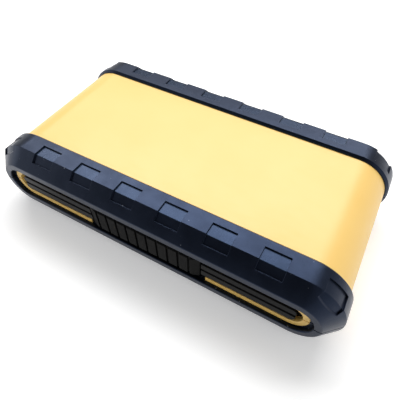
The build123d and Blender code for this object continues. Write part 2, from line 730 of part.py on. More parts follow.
with BuildPart() as holder_shank:
    with BuildSketch(along_holder(-HOLDER_LENGTH / 2)):
        RegularPolygon(BIT_HEX / 2, 6, major_radius=False)
    extrude(amount=HOLDER_LENGTH - SLEEVE_LENGTH + SHANK_IN_SLEEVE)
    chamfer(holder_shank.edges().group_by(Axis.X)[0], SHANK_BEVEL)
    with BuildSketch(along_holder(-HOLDER_LENGTH / 2 + BALL_GROOVE_SETBACK)):
        Circle(HOLDER_RADIUS)
        Circle(BALL_GROOVE_RADIUS, mode=Mode.SUBTRACT)
    extrude(amount=BALL_GROOVE_WIDTH, mode=Mode.SUBTRACT)

with BuildPart() as holder_magnet:
    with BuildSketch(along_holder(HOLDER_LENGTH / 2 - HOLDER_SOCKET_DEPTH - MAGNET_LENGTH)):
        Circle(MAGNET_RADIUS)
    extrude(amount=MAGNET_LENGTH)

# Torsion spring wound round the latch pin, with a leg behind the lever and a leg on the bay's wall
coil_height = COIL_PITCH * (COIL_TURNS + BAY_LEG_ANGLE / 360)
with BuildPart() as wound_wire:
    with BuildLine():
        coil = Helix(pitch=COIL_PITCH, height=coil_height, radius=COIL_RADIUS)
        lever_leg = Line(coil @ 0 - (coil % 0) * LEVER_LEG, coil @ 0)
        Line(coil @ 1, coil @ 1 + (coil % 1) * BAY_LEG)
    with BuildSketch(Plane(origin=lever_leg @ 0, z_dir=lever_leg % 0)):
        Rectangle(SPRING_WIRE, SPRING_WIRE)
    sweep()

with BuildPart() as latch_spring:
    coil_plane = Plane(
        origin=(-coil_height / 2, LATCH_AXIS_Y, LATCH_AXIS_Z),
        x_dir=(0, -1, 0),
        z_dir=(1, 0, 0),
    )
    add(coil_plane.location * wound_wire.part)

NODES = {
    "base_shell": base_shell,
    "base_front_bumper": base_front_bumper,
    "base_rear_bumper": base_rear_bumper,
    "base_tray": base_tray,
    "lid_shell": lid_shell,
    "lid_front_bumper": lid_front_bumper,
    "lid_rear_bumper": lid_rear_bumper,
    "lid_tray": lid_tray,
    "latch": latch,
    "latch_pin": latch_pin,
    "latch_spring": latch_spring,
    "hinge_pins": hinge_pins,
    "front_rack": front_rack,
    "middle_rack": middle_rack,
    "rear_rack": rear_rack,
    "slotted_bits": slotted_bits,
    "phillips_bits": phillips_bits,
    "pozidriv_bits": pozidriv_bits,
    "hex_bits": hex_bits,
    "star_bits": star_bits,
    "tamper_star_bits": tamper_star_bits,
    "socket_adaptor": socket_adaptor,
    "holder_sleeve": holder_sleeve,
    "holder_shank": holder_shank,
    "holder_magnet": holder_magnet,
}

os.makedirs("parts", exist_ok=True)
for name, piece in NODES.items():
    piece.part.label = name
    export_step(piece.part, f"parts/{name}.step")
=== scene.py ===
"""Looks of the bit set case: finishes, rounded mouldings, turned and milled tools, studio and camera."""

import logging
import math
from collections.abc import Callable
from dataclasses import dataclass
from enum import Enum
from functools import cache

import bmesh
import bpy
from mathutils import Matrix, Vector


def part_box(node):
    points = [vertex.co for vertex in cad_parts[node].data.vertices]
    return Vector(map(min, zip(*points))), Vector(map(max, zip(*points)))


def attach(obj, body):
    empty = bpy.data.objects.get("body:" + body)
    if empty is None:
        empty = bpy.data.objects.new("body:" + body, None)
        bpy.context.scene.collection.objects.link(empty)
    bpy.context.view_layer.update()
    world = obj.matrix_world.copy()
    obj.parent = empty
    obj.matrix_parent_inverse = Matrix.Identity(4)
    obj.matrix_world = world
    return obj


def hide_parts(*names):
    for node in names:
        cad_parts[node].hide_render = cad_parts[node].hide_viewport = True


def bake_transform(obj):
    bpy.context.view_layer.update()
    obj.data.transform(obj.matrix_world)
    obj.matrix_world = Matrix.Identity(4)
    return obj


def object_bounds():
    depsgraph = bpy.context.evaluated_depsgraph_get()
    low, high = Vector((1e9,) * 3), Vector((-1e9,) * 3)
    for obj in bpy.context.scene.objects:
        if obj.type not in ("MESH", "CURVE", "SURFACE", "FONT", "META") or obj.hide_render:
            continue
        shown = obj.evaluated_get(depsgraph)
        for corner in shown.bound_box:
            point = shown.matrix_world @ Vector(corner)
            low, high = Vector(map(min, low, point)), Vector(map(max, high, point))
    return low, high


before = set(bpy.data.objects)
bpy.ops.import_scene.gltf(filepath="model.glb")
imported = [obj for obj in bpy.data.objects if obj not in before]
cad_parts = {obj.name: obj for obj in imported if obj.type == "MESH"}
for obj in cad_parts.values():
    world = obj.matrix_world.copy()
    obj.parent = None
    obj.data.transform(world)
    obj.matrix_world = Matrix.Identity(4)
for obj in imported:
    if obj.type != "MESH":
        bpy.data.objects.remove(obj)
CAD_BOUNDS = [list(corner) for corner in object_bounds()]
MM = 0.001
PAD_DEPTH = 0.7
TURNED_MERGE = 0.0005
SHARP_ANGLE = math.radians(33)

logging.basicConfig(level=logging.INFO, format="%(message)s")
log = logging.getLogger("bit set case")

Shape = bmesh.types.BMesh
Socket = bpy.types.NodeSocket
Triple = tuple[float, float, float]
Source = Socket | float | Triple
Limit = Callable[[float, float], float]

WHITE: Triple = (1.0, 1.0, 1.0)
UNSTRETCHED: Triple = (1.0, 1.0, 1.0)


class Body(Enum):
    """The three bodies that pieces ride on."""

    BASE = "base"
    LID = "lid"
    LATCH = "latch_lever"


class Tip(Enum):
    """The forms that a bit's tip can have."""

    SLOTTED = "slotted"
    CROSS = "cross"
    RIBBED_CROSS = "ribbed cross"
    HEXAGON = "hexagon"
    STAR = "star"
    TAMPER_STAR = "tamper star"
    SQUARE = "square"


def from_screen(red: int, green: int, blue: int) -> Triple:
    """Turn a screen colour into the linear colour that shaders take.

    Args:
        red: Red, from 0 to 255.
        green: Green, from 0 to 255.
        blue: Blue, from 0 to 255.

    Returns:
        The three linear values, from 0 to 1.
    """
    shares = [channel / 255 for channel in (red, green, blue)]
    linear = [share / 12.92 if share <= 0.04045 else ((share + 0.055) / 1.055) ** 2.4 for share in shares]
    return linear[0], linear[1], linear[2]


# Shader nodes


@dataclass(frozen=True)
class Fade:
    """A result that goes from start to end while a value goes from low to high, held at the ends."""

    low: float
    high: float
    start: float = 0.0
    end: float = 1.0


class NodeBench:
    """A tree of shader nodes, with short calls for the ones that the looks use."""

    def __init__(self, tree: bpy.types.NodeTree) -> None:
        """Take up the tree of a material or a world."""
        self.nodes = tree.nodes
        self.links = tree.links

    def fill(self, node: bpy.types.Node, inputs: dict[int | str, Source]) -> None:
        """Give a node's inputs their values.

        Args:
            node: The node.
            inputs: What each input takes: a number, a colour, a vector or another node's output.
        """
        for name, value in inputs.items():
            entry = node.inputs[name]
            if isinstance(value, Socket):
                self.links.new(value, entry)
            elif entry.type == "RGBA":
                entry.default_value = (*value, 1.0)
            else:
                entry.default_value = value

    def reckon(self, operation: str, *values: Source) -> Socket:
        """One step of arithmetic.

        Args:
            operation: The step, by its name in the node.
            values: The numbers that it takes, or where they come from.

        Returns:
            The result.
        """
        step = self.nodes.new("ShaderNodeMath")
        step.operation = operation
        self.fill(step, dict(enumerate(values)))
        return step.outputs[0]

    def axis(self, vector: Socket, name: str) -> Socket:
        """One part of a vector.

        Args:
            vector: The vector.
            name: The axis that is wanted.

        Returns:
            The part along that axis.
        """
        parts = self.nodes.new("ShaderNodeSeparateXYZ")
        self.fill(parts, {0: vector})
        return parts.outputs[name]

    def ramp(self, source: Socket, fade: Fade) -> Socket:
        """Map a value from one range to another.

        Args:
            source: The value.
            fade: The two ranges.

        Returns:
            The mapped value.
        """
        mapped = self.nodes.new("ShaderNodeMapRange")
        ends = {"From Min": fade.low, "From Max": fade.high, "To Min": fade.start, "To Max": fade.end}
        self.fill(mapped, {"Value": source, **ends})
        return mapped.outputs["Result"]

    def mix(self, share: Socket, first: Source, second: Source) -> Socket:
        """Mix two colours.

        Args:
            share: How much of the second colour shows.
            first: The colour at 0.
            second: The colour at 1.

        Returns:
            The mixed colour.
        """
        mixed = self.nodes.new("ShaderNodeMix")
        mixed.data_type = "RGBA"
        self.fill(mixed, {"Factor": share, 6: first, 7: second})
        return mixed.outputs[2]

    def shown_rays(self) -> Socket:
        """1 for rays that show something to the camera, straight or by gloss or glass, and else 0.

        Returns:
            The share.
        """
        rays = self.nodes.new("ShaderNodeLightPath")
        shown = rays.outputs["Is Camera Ray"]
        for kind in ("Is Glossy Ray", "Is Transmission Ray"):
            shown = self.reckon("MAXIMUM", shown, rays.outputs[kind])
        return shown


class MaterialBench(NodeBench):
    """The nodes of a new material, whose patterns read Object coordinates."""

    def __init__(self, name: str) -> None:
        """Start a material.

        Args:
            name: The material's name.
        """
        self.material = bpy.data.materials.new(name)
        self.material.use_nodes = True
        super().__init__(self.material.node_tree)
        self.place = self.nodes.new("ShaderNodeTexCoord").outputs["Object"]

    def noise(self, size: float, detail: float, stretch: Triple = UNSTRETCHED) -> Socket:
        """Noise with features of a real size.

        Args:
            size: The size of a feature, in millimetres.
            detail: How many finer layers are added.
            stretch: How much each axis is multiplied first.

        Returns:
            The noise, around 0.5.
        """
        place = self.place
        if stretch != UNSTRETCHED:
            mapping = self.nodes.new("ShaderNodeMapping")
            self.fill(mapping, {"Scale": stretch, "Vector": place})
            place = mapping.outputs["Vector"]
        noise = self.nodes.new("ShaderNodeTexNoise")
        self.fill(noise, {"Scale": 1 / (size * MM), "Detail": detail, "Vector": place})
        return noise.outputs["Fac"]

    def relief(self, layers: list[tuple[Socket, float]], rounding: float = 0.0) -> Socket:
        """A bumpy surface with rounded-looking edges.

        Args:
            layers: Each height and its depth in millimetres.
            rounding: The radius of the rounding along edges, in millimetres, or 0.

        Returns:
            The surface's normal.
        """
        under = {}
        if rounding:
            bevel = self.nodes.new("ShaderNodeBevel")
            bevel.samples = 6
            self.fill(bevel, {"Radius": rounding * MM})
            under = {"Normal": bevel.outputs["Normal"]}
        for height, depth in layers:
            bump = self.nodes.new("ShaderNodeBump")
            self.fill(bump, {"Distance": depth * MM, "Height": height, **under})
            under = {"Normal": bump.outputs["Normal"]}
        return under["Normal"]

    def finished(self, inputs: dict[str, Source]) -> bpy.types.Material:
        """Give the shader the values of its inputs, and hand over the finished material."""
        self.fill(self.nodes["Principled BSDF"], inputs)
        return self.material


# Finishes, with sizes and depths in millimetres


@dataclass(frozen=True)
class MouldedPlastic:
    """A moulded plastic: a colour with slow drift, a fine mould grain and light scuffs."""

    name: str
    colour: Triple
    drift: Triple
    roughness: float
    grain_size: float = 0.25
    grain_depth: float = 0.012
    rounding: float = 0.0
    gloss: float = 0.5
    drift_size: float = 28.0
    scuff_size: float = 1.4
    scuff_stretch: Triple = (0.22, 1.0, 1.0)
    scuff_wear: float = 0.05
    wave_size: float = 9.0
    wave_depth: float = 0.03

    def make(self) -> bpy.types.Material:
        """Build the material.

        Returns:
            The finished material.
        """
        bench = MaterialBench(self.name)
        drift = bench.ramp(bench.noise(self.drift_size, detail=2.0), Fade(0.35, 0.65))
        scuffs = bench.noise(self.scuff_size, detail=5.0, stretch=self.scuff_stretch)
        worn = Fade(0.45, 0.75, self.roughness, self.roughness + self.scuff_wear)
        waves = (bench.noise(self.wave_size, detail=1.0), self.wave_depth)
        grain = (bench.noise(self.grain_size, detail=2.0), self.grain_depth)
        return bench.finished(
            {
                "Base Color": bench.mix(drift, self.colour, self.drift),
                "Roughness": bench.ramp(scuffs, worn),
                "Specular IOR Level": self.gloss,
                "Normal": bench.relief([waves, grain], self.rounding),
            }
        )


@dataclass(frozen=True)
class Rubber:
    """An overmoulded rubber: near black and faintly dusty, with a cool gloss where light grazes it, and a
    painted bluish sheen in the colour of its grip pads' floors.
    """

    name: str
    colour: Triple
    dust: Triple
    speck: Triple
    roughness: float
    gloss: float
    gloss_tint: Triple
    sheen: float
    sheen_roughness: float
    sheen_tint: Triple
    # Lighter bluish colour of the pads' floors: a painted sheen, not the rubber's own colour.
    pad_painted_sheen: Triple
    pad_polish: float
    pad_window: float = 0.2
    pad_reach: float = 36.6
    pad_end: float = 58.0
    dust_size: float = 0.6
    dust_share: float = 0.55
    speck_size: float = 1.1
    speck_share: float = 0.8
    patch_size: float = 6.0
    patch_polish: float = 0.04
    patch_wear: float = 0.06
    wave_size: float = 5.0
    wave_depth: float = 0.05
    grain_size: float = 0.28
    grain_depth: float = 0.02

    def pad_share(self, bench: MaterialBench) -> Socket:
        """1 on the smooth floors that the grip pads have in the flat bands, where the colour carries a
        painted sheen, and 0 elsewhere.

        Args:
            bench: The material's nodes.

        Returns:
            The share.
        """
        middle = CAD_BOUNDS[1][2] / 2
        level = middle - PAD_DEPTH * MM
        above = bench.reckon("SUBTRACT", bench.axis(bench.place, "Z"), middle)
        share = bench.reckon("COMPARE", bench.reckon("ABSOLUTE", above), level, self.pad_window * MM)
        for axis, limit in (("X", self.pad_end), ("Y", self.pad_reach)):
            out = bench.reckon("ABSOLUTE", bench.axis(bench.place, axis))
            share = bench.reckon("MULTIPLY", share, bench.reckon("LESS_THAN", out, limit * MM))
        return share

    def make(self) -> bpy.types.Material:
        """Build the material.

        Returns:
            The finished material.
        """
        bench = MaterialBench(self.name)
        film = bench.ramp(bench.noise(self.dust_size, detail=6.0), Fade(0.5, 0.75, end=self.dust_share))
        spots = bench.noise(self.speck_size, detail=2.0)
        specks = bench.ramp(spots, Fade(0.755, 0.78, end=self.speck_share))
        specked = bench.mix(specks, bench.mix(film, self.colour, self.dust), self.speck)
        pads = self.pad_share(bench)
        worn = Fade(0.3, 0.7, self.roughness - self.patch_polish, self.roughness + self.patch_wear)
        patches = bench.ramp(bench.noise(self.patch_size, detail=4.0), worn)
        polish = bench.reckon("MULTIPLY", pads, self.pad_polish)
        waves = (bench.noise(self.wave_size, detail=2.0), self.wave_depth)
        grain = (bench.noise(self.grain_size, detail=3.0), self.grain_depth)
        return bench.finished(
            {
                # The pads' floors are coloured lighter and bluer: a painted sheen.
                "Base Color": bench.mix(pads, specked, self.pad_painted_sheen),
                "Roughness": bench.reckon("SUBTRACT", patches, polish),
                "Specular IOR Level": self.gloss,
                "Specular Tint": self.gloss_tint,
                "Sheen Weight": self.sheen,
                "Sheen Roughness": self.sheen_roughness,
                "Sheen Tint": self.sheen_tint,
                "Normal": bench.relief([waves, grain]),
            }
        )


@dataclass(frozen=True)
class Metal:
    """A metal with drawn or blasted marks."""

    name: str
    colour: Triple
    roughness: float
    mark_size: float
    mark_depth: float
    stretch: Triple = UNSTRETCHED
    shade: float = 0.8
    polish: float = 0.06
    wear: float = 0.1

    def make(self) -> bpy.types.Material:
        """Build the material.

        Returns:
            The finished material.
        """
        bench = MaterialBench(self.name)
        marks = bench.noise(self.mark_size, detail=4.0, stretch=self.stretch)
        red, green, blue = self.colour
        darker = (self.shade * red, self.shade * green, self.shade * blue)
        worn = Fade(0.3, 0.7, self.roughness - self.polish, self.roughness + self.wear)
        return bench.finished(
            {
                "Base Color": bench.mix(bench.ramp(marks, Fade(0.3, 0.7)), self.colour, darker),
                "Metallic": 1.0,
                "Roughness": bench.ramp(marks, worn),
                "Normal": bench.relief([(marks, self.mark_depth)]),
            }
        )


Finish = MouldedPlastic | Rubber | Metal

SHELL_YELLOW = MouldedPlastic(
    name="shell_yellow",
    colour=from_screen(254, 212, 122),
    drift=from_screen(253, 209, 116),
    roughness=0.4,
    grain_size=0.35,
    grain_depth=0.01,
    gloss=0.65,
)
BUMPER_RUBBER = Rubber(
    name="bumper_rubber",
    colour=from_screen(6, 6, 8),
    dust=from_screen(15, 16, 21),
    speck=from_screen(150, 155, 165),
    roughness=0.32,
    gloss=0.52,
    gloss_tint=(0.37, 0.54, 1.0),
    sheen=0.03,
    sheen_roughness=0.4,
    sheen_tint=(0.4, 0.55, 1.0),
    # Painted sheen on the pads' floors.
    pad_painted_sheen=from_screen(16, 28, 40),
    pad_polish=0.05,
)
TRAY_BLACK = MouldedPlastic(
    name="tray_black",
    colour=from_screen(16, 16, 17),
    drift=from_screen(20, 20, 21),
    roughness=0.14,
    grain_size=0.5,
    grain_depth=0.003,
    rounding=0.25,
    gloss=0.06,
)
LATCH_BLACK = MouldedPlastic(
    name="latch_black",
    colour=from_screen(13, 13, 13),
    drift=from_screen(17, 17, 17),
    roughness=0.5,
    gloss=0.05,
)
RACK_GREY = MouldedPlastic(
    name="rack_grey",
    colour=from_screen(48, 49, 52),
    drift=from_screen(56, 57, 60),
    roughness=0.55,
)
STEEL_PIN = Metal("steel_pin", (0.60, 0.60, 0.62), 0.3, 0.4, 0.006, (0.1, 1.0, 1.0))
SPRING_STEEL = Metal("spring_steel", (0.55, 0.55, 0.56), 0.25, 0.3, 0.004)
BIT_STEEL = Metal("bit_steel", (0.46, 0.46, 0.47), 0.38, 0.12, 0.006)
HOLDER_CHROME = Metal("holder_chrome", (0.82, 0.82, 0.84), 0.14, 1.2, 0.002, (0.2, 1.0, 1.0))
MAGNET = Metal("magnet", (0.45, 0.44, 0.42), 0.35, 0.3, 0.006)


@cache
def material_of(finish: Finish) -> bpy.types.Material:
    """The finish's one material, built on first use.

    Args:
        finish: The finish.

    Returns:
        Its material.
    """
    return finish.make()


# Pieces


def dress(node: str, finish: Finish) -> None:
    """Put a finish on a CAD node.

    Args:
        node: The node's name.
        finish: What it wears.
    """
    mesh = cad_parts[node].data
    mesh.materials.clear()
    mesh.materials.append(material_of(finish))
    log.info("dressed %s in %s", node, finish.name)


def loose_piece(name: str, shape: Shape, finish: Finish, node: str) -> bpy.types.Object:
    """Turn a finished shape into a piece that stands for a CAD node, and rides on nothing yet.

    Args:
        name: The piece's name.
        shape: Its shape, in place, in metres. It is freed.
        finish: What it wears.
        node: The CAD node that it stands for.

    Returns:
        The new piece.
    """
    mesh = bpy.data.meshes.new(name)
    shape.to_mesh(mesh)
    shape.free()
    mesh.shade_smooth()
    mesh.set_sharp_from_angle(angle=SHARP_ANGLE)
    mesh.materials.append(material_of(finish))
    piece = bpy.data.objects.new(name, mesh)
    bpy.context.scene.collection.objects.link(piece)
    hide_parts(node)
    log.info("built %s for %s with %d faces", name, node, len(mesh.polygons))
    return piece


def add_piece(name: str, shape: Shape, body: Body, finish: Finish, node: str) -> bpy.types.Object:
    """Turn a finished shape into a piece that stands for a CAD node and rides on a body.

    Args:
        name: The piece's name.
        shape: Its shape, in place, in metres. It is freed.
        body: What it rides on.
        finish: What it wears.
        node: The CAD node that it stands for.

    Returns:
        The new piece.
    """
    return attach(loose_piece(name, shape, finish, node), body.value)


@dataclass
class Moulding:
    """A CAD node's shape with the small radii that a mould leaves along its edges."""

    node: str
    body: Body
    finish: Finish
    radius: float
    sharpest: float = math.radians(24)
    flat: float = math.radians(0.6)
    merge: float = 0.001
    normal_weight: int = 80

    def correct(self, shape: Shape) -> None:
        """Leave the shape as the node has it. Other mouldings change small things here."""

    def build(self) -> None:
        """Round a copy of the node and let it stand for the node."""
        shape = bmesh.new()
        shape.from_mesh(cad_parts[self.node].data)
        bmesh.ops.remove_doubles(shape, verts=shape.verts, dist=self.merge * MM)
        self.correct(shape)
        bmesh.ops.dissolve_limit(shape, angle_limit=self.flat, verts=shape.verts, edges=shape.edges)
        edges = [
            edge
            for edge in shape.edges
            if len(edge.link_faces) == 2 and edge.calc_face_angle(0.0) > self.sharpest
        ]
        bmesh.ops.bevel(
            shape,
            geom=edges,
            offset=self.radius * MM,
            offset_type="OFFSET",
            segments=2,
            profile=0.5,
            affect="EDGES",
            clamp_overlap=True,
            material=-1,
        )
        piece = add_piece(f"{self.node}_moulding", shape, self.body, self.finish, self.node)
        weighted = piece.modifiers.new("even_normals", "WEIGHTED_NORMAL")
        weighted.keep_sharp = True
        weighted.weight = self.normal_weight


@dataclass
class BumperMoulding(Moulding):
    """A bumper, whose grip pads end square to the slope that they are sunk into."""

    ledge_drop: float = 2.9
    ledge_reach: float = 38.71
    margin: float = 0.06

    def correct(self, shape: Shape) -> None:
        """Turn each pad's lower wall square to the slope.

        Args:
            shape: The bumper, before its edges are rounded.
        """
        height = CAD_BOUNDS[1][2] / MM
        shift = PAD_DEPTH / math.sqrt(2)
        for vert in shape.verts:
            over = vert.co.z / MM > height / 2
            drop = height - vert.co.z / MM if over else vert.co.z / MM
            beyond = abs(abs(vert.co.y) / MM - self.ledge_reach)
            if abs(drop - self.ledge_drop) < self.margin and beyond < self.margin:
                vert.co.y += math.copysign(shift, vert.co.y) * MM
                vert.co.z += (-shift if over else shift) * MM


# Turned shapes, in millimetres and about Z until they are meshes


@dataclass(frozen=True)
class Ring:
    """One ring of a turned profile."""

    along: float
    radius: float
    limit: Limit | None = None


def spread(start: float, end: float, step: float) -> list[float]:
    """Even places from start to end, at most step apart.

    Args:
        start: The first place.
        end: The last place.
        step: The greatest distance between places.

    Returns:
        The places, both ends among them.
    """
    count = max(1, math.ceil(abs(end - start) / step))
    return [start + (end - start) * number / count for number in range(count + 1)]


def even_prism(across: float, sides: int) -> Limit:
    """How far out the flats of an even prism let a turned surface go.

    Args:
        across: The distance across its flats.
        sides: The number of flats. A corner lies at angle 0.

    Returns:
        The reach at an angle, whatever the place along the axis.
    """
    part = 2 * math.pi / sides

    def reach(angle: float, along: float) -> float:
        """The reach at an angle round the axis."""
        return across / 2 / math.cos(angle % part - part / 2)

    return reach


def rod(length: float, radius: float, edge: float) -> list[Ring]:
    """A round rod with bevelled ends.

    Args:
        length: Its length.
        radius: Its radius.
        edge: The size of its bevels.

    Returns:
        The profile, from one end of the axis to the other.
    """
    foot = [Ring(0.0, 0.0), Ring(0.0, radius - edge), Ring(edge, radius)]
    return foot + [Ring(length - edge, radius), Ring(length, radius - edge), Ring(length, 0.0)]


@dataclass(frozen=True)
class HexagonBar:
    """Hexagon bar that tools are milled from, with a bevelled foot on the origin."""

    across: float = 6.35
    bevel: float = 0.5
    bevel_start: float = 0.15
    bevel_end: float = 0.95
    bevel_step: float = 0.16
    full: float = 1.1

    @property
    def flat(self) -> float:
        """The distance from the axis to a flat."""
        return self.across / 2

    @property
    def corner(self) -> float:
        """The distance from the axis to a corner."""
        return self.across / math.sqrt(3)

    @property
    def limit(self) -> Limit:
        """How far out the flats let a turned surface go."""
        return even_prism(self.across, 6)

    def foot(self) -> list[Ring]:
        """The bevelled foot.

        Returns:
            The profile, from the axis to where the bar is full.
        """
        start = self.flat - self.bevel
        places = spread(self.bevel_start, self.bevel_end, self.bevel_step)
        rings = [Ring(0.0, 0.0), Ring(0.0, start, self.limit)]
        rings += [Ring(along, start + along, self.limit) for along in places]
        return [*rings, Ring(self.full, self.corner, self.limit)]


def turned(rings: list[Ring], steps: int) -> Shape:
    """Spin a profile about Z, then mill it back to its limits.

    Args:
        rings: The profile, from one end of the axis to the other.
        steps: The number of steps round the axis.

    Returns:
        The closed shape, about the origin, in metres.
    """
    shape = bmesh.new()
    ring_layer = shape.verts.layers.int.new("ring")
    last = None
    for number, ring in enumerate(rings):
        vert = shape.verts.new((ring.radius * MM, 0.0, ring.along * MM))
        vert[ring_layer] = number
        if last:
            shape.edges.new((last, vert))
        last = vert
    bmesh.ops.spin(
        shape,
        geom=[*shape.verts, *shape.edges],
        cent=(0.0, 0.0, 0.0),
        axis=(0.0, 0.0, 1.0),
        angle=2 * math.pi,
        steps=steps,
        use_merge=True,
    )
    for vert in shape.verts:
        limit = rings[vert[ring_layer]].limit
        reach = math.hypot(vert.co.x, vert.co.y)
        if limit and reach > 0:
            allowed = limit(math.atan2(vert.co.y, vert.co.x), vert.co.z / MM) * MM
            if reach > allowed:
                vert.co.x *= allowed / reach
                vert.co.y *= allowed / reach
    bmesh.ops.remove_doubles(shape, verts=shape.verts, dist=TURNED_MERGE * MM)
    bmesh.ops.recalc_face_normals(shape, faces=shape.faces)
    return shape


def laid(shape: Shape, place: Vector) -> Shape:
    """Lay a turned shape along X, with one of its hexagon's corners towards Y.

    Args:
        shape: The shape, standing on the origin.
        place: Where its foot goes, in metres.

    Returns:
        The same shape.
    """
    quarter = math.pi / 2
    turn = Matrix.Rotation(quarter, 3, "Y") @ Matrix.Rotation(quarter, 3, "Z")
    bmesh.ops.rotate(shape, verts=shape.verts, cent=(0.0, 0.0, 0.0), matrix=turn)
    bmesh.ops.translate(shape, verts=shape.verts, vec=place)
    return shape


def joined(shapes: list[Shape]) -> Shape:
    """Several shapes as one.

    Args:
        shapes: The shapes. They are freed.

    Returns:
        The one shape.
    """
    whole = bmesh.new()
    for shape in shapes:
        held = bpy.data.meshes.new("held")
        shape.to_mesh(held)
        shape.free()
        whole.from_mesh(held)
        bpy.data.meshes.remove(held)
    return whole


# Bits


@dataclass(frozen=True)
class TipEdge:
    """The rounding at the front of a tip with flats."""

    length: float
    depth: float
    step: float


@dataclass
class Bit:
    """A 25 mm insert bit, turned and milled from hexagon bar, standing on the origin."""

    tip: Tip
    size: float
    bar: HexagonBar = HexagonBar()
    length: float = 25.0
    steps: int = 96
    fine: float = 0.35

    # Shank and neck
    shank: float = 13.5
    fall_length: float = 1.2
    fall_start: float = 0.12
    fall_step: float = 0.18
    fall_slope: float = 0.35
    neck_taper: float = 1.6
    neck_steps: int = 6
    shoulder: float = 0.3
    waist_cut: float = 0.12
    waist_length: float = 0.35
    waist_rise: float = 0.2
    neck_gap: float = 0.05

    # Crossed tips
    cross_length: float = 5.5
    web_share: float = 0.2
    point_share: float = 0.35
    rib_share: float = 0.62
    rib_short: float = 0.6
    least_opening: float = 0.02

    # Blades
    blade_length: float = 7.0
    blade_share: float = 0.2
    blade_flat: float = 1.5
    least_sine: float = 0.001

    # Stars, hexagons and the square drive
    star_length: float = 6.0
    star_edge: float = 0.25
    lobes: int = 6
    root_share: float = 0.72
    lobe_power: float = 0.8
    hole_share: float = 0.36
    hole_depth: float = 2.5
    run_out: float = 0.5
    run_in: float = 0.1
    drive_length: float = 8.0
    key_edge: TipEdge = TipEdge(length=0.25, depth=0.4, step=0.25)
    drive_edge: TipEdge = TipEdge(length=0.8, depth=1.3, step=0.14)

    def neck_radius(self) -> float:
        """How thick the neck is."""
        return {
            Tip.SLOTTED: self.size / 2,
            Tip.CROSS: self.size,
            Tip.RIBBED_CROSS: self.size,
            Tip.HEXAGON: self.size / math.sqrt(3) + self.shoulder,
            Tip.STAR: self.size / 2 + self.shoulder,
            Tip.TAMPER_STAR: self.size / 2 + self.shoulder,
            Tip.SQUARE: self.size / 2,
        }[self.tip]

    def body_rings(self, end: float) -> list[Ring]:
        """The shank and the neck.

        Args:
            end: Where the neck ends.

        Returns:
            The profile, from the foot to there.
        """
        neck = self.neck_radius()
        fall = self.shank - self.fall_length
        rings = [*self.bar.foot(), Ring(fall, self.bar.corner, self.bar.limit)]
        rings += [
            Ring(fall + drop, self.bar.corner - self.fall_slope * drop, self.bar.limit)
            for drop in spread(self.fall_start, self.fall_length, self.fall_step)
        ]
        start = self.bar.corner - self.fall_slope * self.fall_length
        waist = min(neck, self.bar.flat) - self.waist_cut
        for step in range(1, self.neck_steps + 1):
            share = step / self.neck_steps
            reach = start + (waist - start) * math.sin(share * math.pi / 2)
            rings.append(Ring(self.shank + self.neck_taper * share, reach))
        waist_end = self.shank + self.neck_taper + self.waist_length
        return [*rings, Ring(waist_end, waist), Ring(waist_end + self.waist_rise, neck), Ring(end, neck)]

    def cross_limit(self, angle: float, along: float) -> float:
        """How far out the flutes between the wings let the tip go.

        Args:
            angle: The angle round the axis.
            along: The place along the axis.

        Returns:
            The reach there.
        """
        start = self.length - self.cross_length
        share = min(max((along - start) / self.cross_length, 0.0), 1.0)
        sunk = self.size * (1 - (1 - self.web_share) * share)
        turn = (angle - math.pi / 4) % (math.pi / 2)
        turn = min(turn, math.pi / 2 - turn)
        opening = math.cos(turn) - math.sin(turn)
        flute = sunk / opening if opening > self.least_opening else 2 * self.size
        if self.tip is Tip.RIBBED_CROSS and along < self.length - self.rib_short:
            rib = self.size * self.rib_share / 2 / max(abs(math.cos(angle)), abs(math.sin(angle)))
            flute = max(flute, rib)
        return flute

    def cross_rings(self) -> list[Ring]:
        """A crossed tip, straight at first and then tapering.

        Returns:
            The profile, from the neck's end to the point.
        """
        neck = self.neck_radius()
        start = self.length - self.cross_length
        taper = self.length - self.cross_length / 2
        slope = neck * (1 - self.point_share) / (self.length - taper)
        rings = [Ring(along, neck, self.cross_limit) for along in spread(start, taper, self.fine)]
        return rings + [
            Ring(along, neck - slope * (along - taper), self.cross_limit)
            for along in spread(taper + self.fine, self.length, self.fine)
        ]

    def blade_limit(self, angle: float, along: float) -> float:
        """How far out the ground faces of a blade let the tip go.

        Args:
            angle: The angle round the axis.
            along: The place along the axis.

        Returns:
            The reach there.
        """
        start = self.length - self.blade_length
        end = self.length - self.blade_flat
        share = min(max((along - start) / (end - start), 0.0), 1.0)
        thickness = self.size * (1 - (1 - self.blade_share) * share)
        return thickness / 2 / max(abs(math.sin(angle)), self.least_sine)

    def blade_rings(self) -> list[Ring]:
        """A blade, from the neck's end to its own."""
        places = spread(self.length - self.blade_length, self.length, self.fine)
        return [Ring(along, self.neck_radius(), self.blade_limit) for along in places]

    def star_limit(self, angle: float, along: float) -> float:
        """How far out a star's lobes go.

        Args:
            angle: The angle round the axis.
            along: The place along the axis, which makes no difference.

        Returns:
            The reach there.
        """
        point = self.size / 2
        middle = point * (1 + self.root_share) / 2
        wave = math.cos(self.lobes * angle)
        return middle + (point - middle) * math.copysign(abs(wave) ** self.lobe_power, wave)

    def star_rings(self) -> list[Ring]:
        """A star, with a hole in its front if it is the tamper-proof kind.

        Returns:
            The profile, from the neck's end to the front or the hole's floor.
        """
        end = self.length
        start = end - self.star_length
        point = self.size / 2
        rings = [Ring(start - self.run_out, self.neck_radius())]
        rings += [
            Ring(along, point, self.star_limit)
            for along in (start, start + self.run_in, end - self.star_edge)
        ]
        rings.append(Ring(end, point - self.star_edge, self.star_limit))
        if self.tip is Tip.TAMPER_STAR:
            hole = point * self.hole_share
            rings += [Ring(end, hole), Ring(end - self.hole_depth, hole)]
        return rings

